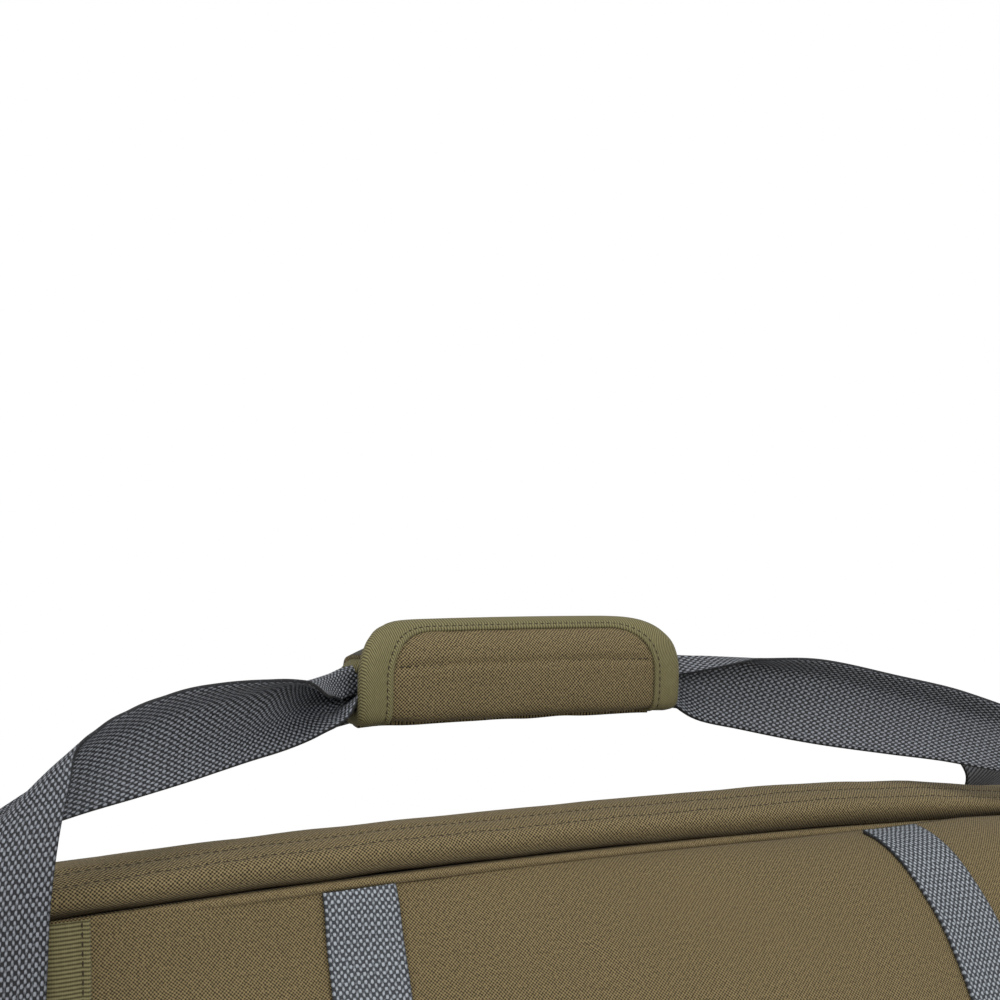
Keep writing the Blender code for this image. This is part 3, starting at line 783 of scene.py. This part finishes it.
handle = {
    "width": 0.040,
    "thick": 0.0012,
    # upper edge (x, back, up) and lower edge in millimetres from the seam's middle,
    # bulge in millimetres, how far the upper and lower parts of the web curl forward in degrees
    "front": [
        ((-245, -5.4, None), (-285, -5.4, None), 0, 0, 0),
        ((-243, -16, -78), (-283.5, -16, -78), 0, 0, 0),
        ((-240, -27, -28), (-281, -29, -30), 0, 0, 0),
        ((-238.5, -27, 6), (-280, -30, -14), 0, 0, 0),
        ((-235.5, -24, 26), (-279, -27, -3), 0, 0, 0),
        ((-231.5, -19, 41), (-277, -22, 5), 0, 0, 0),
        ((-228, -12, 51), (-272, -14, 11), 0, 0, 0),
        ((-222, -6, 57.5), (-262, -9, 18), 0, 10, 0),
        ((-212, -1, 62), (-246, -8, 24), 0, 30, 0),
        ((-199, 4, 65), (-228, -7, 29), 1, 48, 5),
        ((-182, 10, 67.5), (-208, -4, 33), 1, 58, 10),
        ((-160, 19, 68.5), (-186, 4, 37), 2, 72, 12),
        ((-140, 30, 67.5), (-161, 17, 42), 3, 100, 20),
        ((-124, 44, 68.5), (-134, 38, 49), 2, 140, 60),
        ((-111, 52, 71), (-113, 50, 56), 0, 172, 120),
        ((-80, 52, 71.5), (-80, 52, 58), 0, 178, 178),
        ((18, 52, 72.5), (18, 52, 58), 0, 178, 178),
        ((34, 51, 72), (35, 50, 54), 0, 170, 90),
        ((48, 47, 71), (47, 44, 45), 2, 140, 20),
        ((78, 39, 69.5), (74, 39, 38), 3, 88, 8),
        ((108, 31, 67), (102, 27, 31.5), 2, 66, 8),
        ((142, 20, 58.5), (135, 14, 26), 1, 62, 5),
        ((168, 9, 51.5), (158, 4, 22.5), 1, 60, 5),
        ((190, -4, 43.5), (180, -7, 18), 0, 45, 0),
        ((205, -8, 42), (206, -11, 14), 0, 0, 0),
        ((219, -10, 40), (232, -13, 14), 0, 0, 0),
        ((228, -14, 37), (256, -14, 12), 0, 0, 0),
        ((232, -20, 32), (274, -17, 8), 0, 0, 0),
        ((235, -25, 20), (280, -24, 0), 0, 0, 0),
        ((238, -28, 0), (281.5, -29, -14), 0, 0, 0),
        ((241, -27, -30), (281.5, -28, -40), 0, 0, 0),
        ((243.5, -16, -78), (283.5, -16, -80), 0, 0, 0),
        ((245, -5.4, None), (285, -5.4, None), 0, 0, 0),
    ],
    "rear": [
        ((-285, 120.4, None), (-245, 120.4, None), 0, 0, 0),
        ((-284, 128, -84), (-244, 128, -84), 0, 0, 0),
        ((-283, 136, -40), (-243, 136, -40), 0, 0, 0),
        ((-279, 130, -18), (-242, 124, -26), 0, 0, 0),
        ((-266, 116, 0), (-240, 104, -14), 0, 0, 0),
        ((-240, 98, 16), (-228, 94, 2), 0, 10, 10),
        ((-222, 90, 28), (-212, 86, 19), 0, 20, 10),
        ((-200, 83, 39), (-190, 77, 26), 0, 50, 30),
        ((-165, 71, 55), (-160, 66, 37), 0, 80, 60),
        ((-130, 60, 63), (-128, 58, 44.5), 0, 130, 110),
        ((-106, 56, 66), (-106, 56, 49), 0, 165, 150),
        ((-80, 55, 67), (-80, 55, 56), 0, 178, 178),
        ((18, 55, 67), (18, 55, 56), 0, 178, 178),
        ((40, 56, 66), (40, 56, 50), 0, 165, 140),
        ((70, 58, 66), (68, 56, 45), 0, 110, 80),
        ((110, 68, 58), (106, 66, 34), 0, 70, 40),
        ((160, 80, 49), (152, 76, 26), 0, 60, 30),
        ((205, 92, 42), (194, 84, 19), 0, 40, 10),
        ((246, 104, 34), (226, 90, 14), 0, 20, 0),
        ((284, 110, 28), (248, 96, 11), 0, 0, 0),
        ((308, 112, 18), (262, 100, 6.5), 0, 0, 0),
        ((318, 116, 2), (271, 104, -4), 0, 0, 0),
        ((315, 126, -16), (271, 112, -18), 0, 0, 0),
        ((300, 135, -46), (262, 130, -46), 0, 0, 0),
        ((289, 128, -84), (250, 128, -84), 0, 0, 0),
        ((285, 120.4, None), (245, 120.4, None), 0, 0, 0),
    ],
}


def strapSection(across, curlUp, curlDown):
    # (height, forward) of places across a web, curling towards the front from its middle
    section = np.zeros((across + 1, 2))
    middle = across // 2
    step = handle["width"] / across
    for way, curl in ((1, curlUp), (-1, curlDown)):
        for j in range(middle + way, middle + way * (middle + 1), way):
            angle = math.radians(curl) * ease(0.18, 0.60, abs(j - middle - way / 2) / middle)
            section[j] = section[j - way] + np.array((way * math.cos(angle), math.sin(angle))) * step
    low, high = section[:, 0].min(), section[:, 0].max()
    section[:, 0] = (section[:, 0] - low) / (high - low)
    return section


def strapGrid(stations, steps, across, flat, pivotY):
    rows = []
    for upper, lower, bulge, curlUp, curlDown in stations:
        edge = []
        for x, back, up in (upper, lower):
            z = anchorZ if up is None else seamZ + up / 1000
            edge += [x / 1000, pivotY if up is None else frontY + back / 1000, z]
        rows.append(edge + [bulge / 1000, curlUp, curlDown])
    line = through(rows, steps)
    upper, lower = line[:, :3], line[:, 3:6]
    ahead = np.gradient((upper + lower) / 2, axis=0)
    out = np.cross(ahead, upper - lower)
    out /= np.maximum(np.linalg.norm(out, axis=1, keepdims=True), 1e-9)
    grid = np.zeros((steps, across + 1, 3))
    uRun, vRun = np.zeros((steps, across + 1)), np.zeros((steps, across + 1))
    upperRun, lowerRun = distances(upper), distances(lower)
    for i in range(steps):
        bulge, curlUp, curlDown = line[i, 6:9]
        section = strapSection(across, curlUp, curlDown)
        for j in range(across + 1):
            t = section[j, 0]
            forward = (section[j, 1] - bulge * math.sin(math.pi * t)) * flat
            grid[i, j] = lower[i] + (upper[i] - lower[i]) * t + out[i] * forward
            uRun[i, j] = lowerRun[i] + (upperRun[i] - lowerRun[i]) * j / across
            vRun[i, j] = j / across * handle["width"]
    return grid, (uRun, vRun)


def buildStraps():
    for side, steps, way in (("front", 330, 1.0), ("rear", 260, -1.0)):
        pivotY = hinges[side + "_handle_swing"]["pos_m"][1]
        grid, uvs = strapGrid(handle[side], steps, 20, way, pivotY)
        piece = gridPiece(side + "HandleStrap", grid, side + "_handle", [webMat],
                          thick=handle["thick"], offset=0.0, uvs=uvs)
        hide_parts(side + "_handle_strap")


# grip

grip = {
    "centre": (-0.0370, frontY + 0.051, seamZ + 0.0690),
    "half": 0.0738,
    "corner": 0.032,
    "thick": 0.0042,
    "tape": 0.0130,
    "topstitch": 0.0275,     # from the flap's free edge
    # outside of the flap from under the grip up its front, (back, up) from the grip's centre
    "flap": [(0.0, -0.0188), (-0.0060, -0.0189), (-0.0108, -0.0187), (-0.0146, -0.0172), (-0.0160, -0.0130),
             (-0.0168, -0.0040), (-0.0166, 0.0040), (-0.0152, 0.0105), (-0.0118, 0.0152), (-0.0074, 0.0183),
             (-0.0032, 0.0198), (0.0006, 0.0203)],
    # outside of the inner layer from the bottom up the back and over the top to the front
    "wrap": [(0.0008, -0.0188), (0.0060, -0.0180), (0.0110, -0.0145), (0.0136, -0.0065), (0.0138, 0.0030),
             (0.0114, 0.0100), (0.0060, 0.0144), (-0.0010, 0.0154), (-0.0070, 0.0136), (-0.0100, 0.0090)],
    "droop": 0.85,           # the inner layer's ends sink onto the straps
}


class Layer:
    # a flat pattern piece (x, s) wrapped round the grip: s runs along the section
    def __init__(self, section, thick, droop=0.0, way=1):
        self.droop, self.way = droop, way
        line = through([(b, u, 0) for b, u in section], 200)[:, :2]
        self.line = evenly(line, 200)
        self.run = distances(self.line)
        self.length = self.run[-1]
        self.thick = thick

    def point(self, x, s, proud=0.0):
        back, up = (np.interp(s, self.run, self.line[:, k]) for k in (0, 1))
        low, high = max(s - 0.0015, 0.0), min(s + 0.0015, self.length)
        tb = np.interp(high, self.run, self.line[:, 0]) - np.interp(low, self.run, self.line[:, 0])
        tu = np.interp(high, self.run, self.line[:, 1]) - np.interp(low, self.run, self.line[:, 1])
        size = math.hypot(tb, tu)
        nb, nu = -tu / size, tb / size
        over = s - self.length
        if over > 0:
            back, up = back + tb / size * over, up + tu / size * over
        sag = 0.0009 * (1 - (x / grip["half"]) ** 2) - self.droop * max(up, 0.0) * abs(x / grip["half"]) ** 3
        cx, cy, cz = grip["centre"]
        return Vector((cx + x, cy + (back + nb * proud) * self.way, cz + up + nu * proud + sag - 0.0006))


def outline(half, length, corner, inset, count=120):
    # (x, s) up the left side, round the two top corners and down the right side
    r = max(corner - inset, 0.001)
    h, top = half - inset, length - inset
    pts = [(-h, (top - r) * k / 12) for k in range(12)]
    pts += [(-h + r - r * math.cos(a), top - r + r * math.sin(a)) for a in np.linspace(0, math.pi / 2, 24)]
    pts += [(x, top) for x in np.linspace(-h + r, h - r, 40)[1:-1]]
    pts += [(-x, s) for x, s in reversed(pts[:36])]
    return evenly(pts, count)


def buildLayer(name, layer, half, corner, body, bulge):
    # the padded face inside its binding
    columns, rows = 96, 44
    grid = np.zeros((columns + 1, rows + 1, 3))
    for j in range(rows + 1):
        s = (layer.length - 0.002) * j / rows
        rise = max(s - (layer.length - corner), 0.0)
        reach = half - 0.002 - corner + math.sqrt(max(corner**2 - rise**2, 0.0))
        for i in range(columns + 1):
            x = (i / columns * 2 - 1) * reach
            edge = min(reach - abs(x), layer.length - s)
            puff = bulge * ease(0.008, 0.026, edge)
            dent = 0.0012 * hump(layer.length - grip["topstitch"], 0.0011, s)
            dent *= ease(0.012, 0.016, reach - abs(x))
            lump = 0.0005 * wobble(x, s, 1.0, 60.0)
            grid[i, j] = layer.point(x, s, puff - dent + lump)
    return gridPiece(name, grid, body, [paddedMat, liningMat], thick=layer.thick)


def buildBinding(name, layer, half, corner, body):
    # (inset from the edge, proud of the face)
    width = grip["tape"]
    section = [(width, 0.0002), (width - 0.0002, 0.0013), (width - 0.0016, 0.0015), (width - 0.0026, 0.0007),
               (width - 0.0040, 0.0012), (0.0040, 0.0013), (0.0012, 0.0008), (-0.0004, -0.0006),
               (-0.0008, -0.0022), (-0.0002, -layer.thick - 0.0002), (0.0016, -layer.thick - 0.0010),
               (0.0100, -layer.thick - 0.0008)]
    count = 150
    grid = np.zeros((count, len(section), 3))
    for j, (inset, proud) in enumerate(section):
        for i, (x, s) in enumerate(outline(half, layer.length, corner, inset, count)):
            grid[i, j] = layer.point(x, s, proud)
    gridPiece(name, grid, body, [bindMat], thick=0.0005)
    line = outline(half, layer.length, corner, width - 0.0026, count)[10:-10]
    pts = [layer.point(x, s, 0.0010) for x, s in line]
    away = [layer.point(x, s, 0.01) - layer.point(x, s, 0.0) for x, s in line]
    stitchRow(name + "Stitches", pts, away, body, threadMat, pitch=0.0029, length=0.0020, radius=0.00032)


def buildGrip():
    flap = Layer(grip["flap"], grip["thick"])
    face = buildLayer("gripFlap", flap, grip["half"], grip["corner"], "grip_flap", 0.0012)
    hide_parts("grip_flap")
    buildBinding("gripFlapBinding", flap, grip["half"], grip["corner"], "grip_flap")
    reach = grip["half"] - 0.015
    line = [(x, flap.length - grip["topstitch"]) for x in np.linspace(-reach, reach, 60)]
    pts = [flap.point(x, s, 0.0002) for x, s in line]
    away = [flap.point(x, s, 0.01) - flap.point(x, s, 0.0) for x, s in line]
    stitchRow("gripFlapStitches", pts, away, "grip_flap", threadMat,
              pitch=0.0032, length=0.0024, radius=0.00030)
    wrap = Layer([(-b, u) for b, u in grip["wrap"]], 0.0030, grip["droop"], way=-1)
    half, corner = grip["half"] - 0.003, 0.012
    inner = buildLayer("gripWrap", wrap, half, corner, "rear_handle", 0.0004)
    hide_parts("grip_wrap")
    buildBinding("gripWrapBinding", wrap, half, corner, "rear_handle")


# zip

zipper = {
    "back": zipY - frontY,
    "gap": 0.0006,
    "toothPitch": 0.0020,
    "tooth": (0.0011, 0.0024, 0.0012),
    "slider": (0.016, 0.009),
    "pullerLength": 0.042,
    "recess": 0.0009,        # how far the tapes lie below the padded top
    "sliderClear": 0.0002,
}


def onZip(x, above):
    # a place on the zip's line, turned with the arch
    radius = archRadius + topLevel(zipper["back"]) + above
    angle = math.asin(x / radius)
    place = Matrix.Translation((x, zipY, archCentre + radius * math.cos(angle)))
    return place @ Matrix.Rotation(angle, 4, "Y")


def tooth(bm):
    bmesh.ops.create_cube(bm, size=1.0)


def buildZip():
    back, gap, tape = zipper["back"], zipper["gap"], case["tape"]
    for name, node, body, low, high, side in (
            ("lidZipTape", "lid_zip_tape", "lid", back - gap / 2 - tape, back - gap / 2, -1),
            ("trayZipTape", "tray_zip_tape", "tray", back + gap / 2, back + gap / 2 + tape, 1)):
        profile = [(b, topLevel(b) - zipper["recess"]) for b in np.linspace(low, high, 7)]
        grid = rimGrid(profile, hingeZ + 0.001)
        piece = gridPiece(name, grid, body, [zipMat], thick=0.0014)
        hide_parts(node)
        rim = np.array(rimLine(hingeZ + 0.004))
        length = np.linalg.norm(np.diff(rim[:, :2], axis=0), axis=1).sum()
        line = evenly(rim, int(length / zipper["toothPitch"]))
        level = topLevel(back) - zipper["recess"]
        places = []
        for number, (x, z, nx, nz) in enumerate(line):
            if side > 0 and number + 1 < len(line):
                x, z, nx, nz = (line[number] + line[number + 1]) / 2
            out = Vector((nx, 0, nz)).normalized()
            along = Vector((0, 1, 0)).cross(out)
            turn = Matrix((along, Vector((0, 1, 0)), out)).transposed().to_4x4()
            middle = Vector((x, zipY + side * 0.0013, z)) + out * level
            middle.z += swell(x, z, level, back)
            places.append(Matrix.Translation(middle) @ turn @ Matrix.Diagonal((*zipper["tooth"], 1)))
        scattered(name + "Coil", tooth, places, body, coilMat)


def addBlock(bm, size, place, bevel, taper=1.0):
    # a box with rounded edges, narrowed by the taper at its far end
    made = bmesh.ops.create_cube(bm, size=1.0, matrix=Matrix.Diagonal((*size, 1)))
    for vert in made["verts"]:
        if vert.co.x > 0:
            vert.co.y *= taper
    edges = list({edge for vert in made["verts"] for edge in vert.link_edges})
    grown = bmesh.ops.bevel(bm, geom=edges, offset=bevel, offset_type="OFFSET", segments=3, profile=0.5,
                            affect="EDGES", material=-1)
    bmesh.ops.transform(bm, matrix=place, verts=list({v for f in grown["faces"] for v in f.verts}))


def buildSliders():
    length, width = zipper["slider"]
    start = length / 2 + 0.0025
    reach = zipper["pullerLength"]
    for side, way in (("left", -1), ("right", 1)):
        low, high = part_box("zip_slider_" + side)
        place = onZip((low.x + high.x) / 2, zipper["sliderClear"])
        face = place @ Matrix.Rotation(math.pi if way > 0 else 0, 4, "Z")
        bm = bmesh.new()
        for size, middle, bevel, taper in (
                ((length, width, 0.0014), (0, 0, 0.0007), 0.0005, 0.72),                  # lower plate
                ((length * 0.86, width * 0.80, 0.0014), (0, 0, 0.0023), 0.0006, 0.7),     # upper plate
                ((0.0070, 0.0022, 0.0012), (-0.001, 0, 0.0037), 0.0004, 1.0),             # bridge
                ((0.0018, 0.0022, 0.0020), (0.0032, 0, 0.0030), 0.0004, 1.0)):            # its foot
            addBlock(bm, size, face @ Matrix.Translation(middle), bevel, taper)
        piece = pieceFrom(bm, "zipSlider" + side.title(), "zip_slider_" + side, [sliderMat])
        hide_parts("zip_slider_" + side)

        bm = bmesh.new()
        parts = [(reach * 0.62, (reach * 0.72, 0.0060, 0.0030), 0.0012),
                 (reach * 0.14, (reach * 0.27, 0.0034, 0.0018), 0.0007)]
        parts += [(reach * (0.42 + 0.09 * k), (0.0012, 0.0062, 0.0034), 0.0004) for k in range(5)]
        for shift, size, bevel in parts:
            addBlock(bm, size, place @ Matrix.Translation((way * (start + shift), 0, 0.0021)), bevel)
        piece = pieceFrom(bm, "zipPuller" + side.title(), "zip_puller_" + side, [pullerMat])
        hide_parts("zip_puller_" + side)


# tray: top strip, base, skirt, sewn webbing

def buildTray():
    low = zipper["back"] + zipper["gap"] / 2 + case["tape"] + 0.0002
    high = rearY - frontY - 0.0078
    puff = 0.0014
    profile = []
    for k in range(17):
        back = low + (high - low) * k / 16
        profile.append((back, topLevel(back) + puff * math.sin(math.pi * k / 16)))
    grid = rimGrid(profile, 0.0106, 0.0008, seed=5.0)
    piece = gridPiece("rearTop", grid, "tray", [fabricMat, liningMat], thick=case["gusset"])
    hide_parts("tray_top_gusset", "tray_left_gusset", "tray_right_gusset")
    normals = gridNormals(grid)
    stitchRow("rearTopStitches", grid[:, 1] + normals[:, 1] * 0.0001, normals[:, 1], "tray", threadMat)


def block(name, low, high, body, mats, bevel, counts):
    # a padded board: a flat grid thickened, with rounded edges
    sides = [abs(h - l) for l, h in zip(low, high)]
    thin = sides.index(min(sides))
    across = [k for k in range(3) if k != thin]
    grid = np.zeros((counts[0] + 1, counts[1] + 1, 3))
    for i in range(counts[0] + 1):
        for j in range(counts[1] + 1):
            u, v = i / counts[0], j / counts[1]
            grid[i, j, across[0]] = low[across[0]] + u * (high[across[0]] - low[across[0]])
            grid[i, j, across[1]] = low[across[1]] + v * (high[across[1]] - low[across[1]])
            grid[i, j, thin] = (low[thin] + high[thin]) / 2
    piece = gridPiece(name, grid, body, mats, thick=sides[thin], offset=0.0)
    soften = piece.modifiers.new("rounding", "BEVEL")
    soften.width = bevel
    soften.segments = 3
    soften.limit_method = "ANGLE"
    return piece


def buildBase():
    for name, node, slotName, mats, bevel, counts in (
            ("basePanel", "base_panel", "case_fabric", [fabricMat], 0.0035, (80, 8)),
            ("baseBoard", "base_board", "stiffener", [boardMat], 0.0010, (4, 2)),
            ("frontSkirt", "front_skirt", "case_fabric", [fabricMat], 0.0022, (80, 4)),
            ("skirtLeft", "skirt_left", "case_fabric", [fabricMat], 0.0012, (6, 4)),
            ("skirtRight", "skirt_right", "case_fabric", [fabricMat], 0.0012, (6, 4))):
        low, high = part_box(node)
        piece = block(name, low, high, "tray", mats, bevel, counts)
        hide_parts(node)
    low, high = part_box("front_skirt")
    for level in (0.010, 0.0235):       # two rows along the skirt
        pts = [(x, low.y - 0.0001, level) for x in np.linspace(low.x + 0.006, high.x - 0.006, 160)]
        pts = [(x, y, max(z, low.z + 0.003)) for x, y, z in pts]
        stitchRow(f"skirtStitches{round(level * 1000)}", pts, [(0, -1, 0)] * len(pts), "tray", threadMat)


def buildSewnWebbing():
    for side, body, y, way, floorZ, level, seed in (
            ("front", "lid", frontY, -1, padding["frontLow"], padding["frontLevel"], 0.0),
            ("rear", "tray", rearY, 1, padding["rearLow"], padding["rearLevel"], padding["rearSeed"])):
        for end in ("left", "right"):
            node = f"{side}_webbing_{end}"
            low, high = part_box(node)
            rows, columns = 60, 12
            grid = np.zeros((rows + 1, columns + 1, 3))
            for i in range(rows + 1):
                for j in range(columns + 1):
                    x = low.x + (high.x - low.x) * j / columns
                    z = low.z + (high.z - low.z) * i / rows
                    dent = 0.0004 * (hump(0, 0.002, abs(x - (low.x + high.x) / 2) - 0.0165))
                    lift = panelLift(x, z, floorZ, archZ(x, level), 1.0, seed)
                    grid[i, j] = (x, y + way * (lift + 0.0016 - dent), z)
            piece = gridPiece(f"{side}Webbing{end.title()}", grid, body, [webMat],
                              thick=0.0018, flip=way < 0)
            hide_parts(node)
            boxStitch(f"{side}BoxStitch{end.title()}", low, high, grid, way, body)


def boxStitch(name, low, high, grid, way, body):
    left, right = low.x + 0.0035, high.x - 0.0035
    top = high.z - 0.004
    bottom = top - (right - left)
    corners = [(left, bottom), (right, bottom), (right, top), (left, top), (left, bottom), (right, top),
               (right, bottom), (left, top)]
    flat = [p for a, b in zip(corners, corners[1:]) for p in np.linspace(a, b, 12)[:-1]] + [corners[-1]]
    line = []
    for x, z in flat:
        i = round((z - low.z) / (high.z - low.z) * (grid.shape[0] - 1))
        j = round((x - low.x) / (high.x - low.x) * (grid.shape[1] - 1))
        line.append((x, grid[i, j, 1] + way * 0.0001, z))
    stitchRow(name, line, [(0, way, 0)] * len(line), body, greyThreadMat, pitch=0.0032, length=0.0024)


# inside: divider, pockets, rod loops

pocketHem = [(0.010, -0.0004), (0.0008, -0.0004), (0.0, 0.0006), (0.0008, 0.0022), (0.010, 0.0022)]


def buildInside():
    low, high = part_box("divider")
    piece = block("dividerPad", low, high, "divider", [liningMat], 0.0016, (80, 12))
    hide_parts("divider")
    for side, way in (("tip", -1), ("butt", 1)):
        low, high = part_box(side + "_pocket")
        wall, out = high.y, low.y
        half = [(wall, low.z), (out + 0.004, low.z), (out, low.z + 0.006)]
        section = half + [(out - 0.001, (low.z + high.z) / 2)]
        section += [(y, low.z + high.z - z) for y, z in reversed(half)]
        line = evenly(through([(y, z, 0) for y, z in section], 60)[:, :2], 40)
        grid = np.zeros((31, 40, 3))
        for i in range(31):
            x = low.x + (high.x - low.x) * i / 30
            for j, (y, z) in enumerate(line):
                lift = 0.0012 * wobble(x, z, way, 22.0) * ease(0.0, 0.01, wall - y)
                grid[i, j] = (x, y + lift, z)
        piece = gridPiece(side + "Pocket", grid, "tray", [liningMat], thick=0.0018, offset=1.0)
        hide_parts(side + "_pocket")
        edge = -1 if way < 0 else 0
        x = grid[edge, 0, 0]
        hem = []
        for dx, lift in pocketHem:
            centre = np.array([wall, (low.z + high.z) / 2])
            ring = [p + (p - centre) / np.linalg.norm(p - centre) * -lift for p in line]
            hem.append([(x + way * (dx - 0.0010), y, z) for y, z in ring])
        tape = gridPiece(side + "PocketHem", np.array(hem), "tray", [bindMat],
                         thick=0.0004, offset=0.0)
    for side in ("left", "right"):
        low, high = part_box("rod_loop_" + side)
        middle, half = (low.z + high.z) / 2, (high.z - low.z) / 2
        wall, bulge = high.y, high.y - low.y - 0.0016
        grid = np.zeros((13, 49, 3))
        for i in range(13):
            x = low.x + (high.x - low.x) * i / 12
            for j in range(49):
                t = j / 48
                y = wall - 0.0002 - bulge * math.sin(math.pi * t) ** 0.7
                grid[i, j] = (x, y, middle - half * math.cos(math.pi * t))
        piece = gridPiece("rodLoop" + side.title(), grid, "tray", [elasticMat],
                          thick=0.0014, offset=1.0, uvs=(runs(grid, 1), runs(grid, 0)))
        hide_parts("rod_loop_" + side)


def buildGripStrips():
    # hook and loop strips between the grip's two layers
    reach = 0.062
    for name, body, section in (
            ("hook", "grip_flap", [(-0.0118, -0.0110), (-0.0122, 0.0), (-0.0108, 0.0100)]),
            ("loop", "rear_handle", [(-0.0108, -0.0110), (-0.0112, 0.0), (-0.0098, 0.0096)])):
        layer = Layer(section, 0.0008)
        grid = np.zeros((41, 17, 3))
        for i in range(41):
            for j in range(17):
                grid[i, j] = layer.point(reach * (i / 20 - 1), layer.length * j / 16)
        piece = gridPiece(f"grip{name}Strip", grid, body, [hookMat], thick=0.0008)
        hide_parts(f"grip_{name}_strip")


buildRoll()
buildPiping()
buildPanels()
print("lid padded")
buildSleeve()
print("sleeve made")
buildStraps()
buildGrip()
buildGripStrips()
print("handle made")
buildZip()
buildSliders()
print("zip made")
buildTray()
buildBase()
buildSewnWebbing()
print("tray made")
buildInside()
print("inside made")
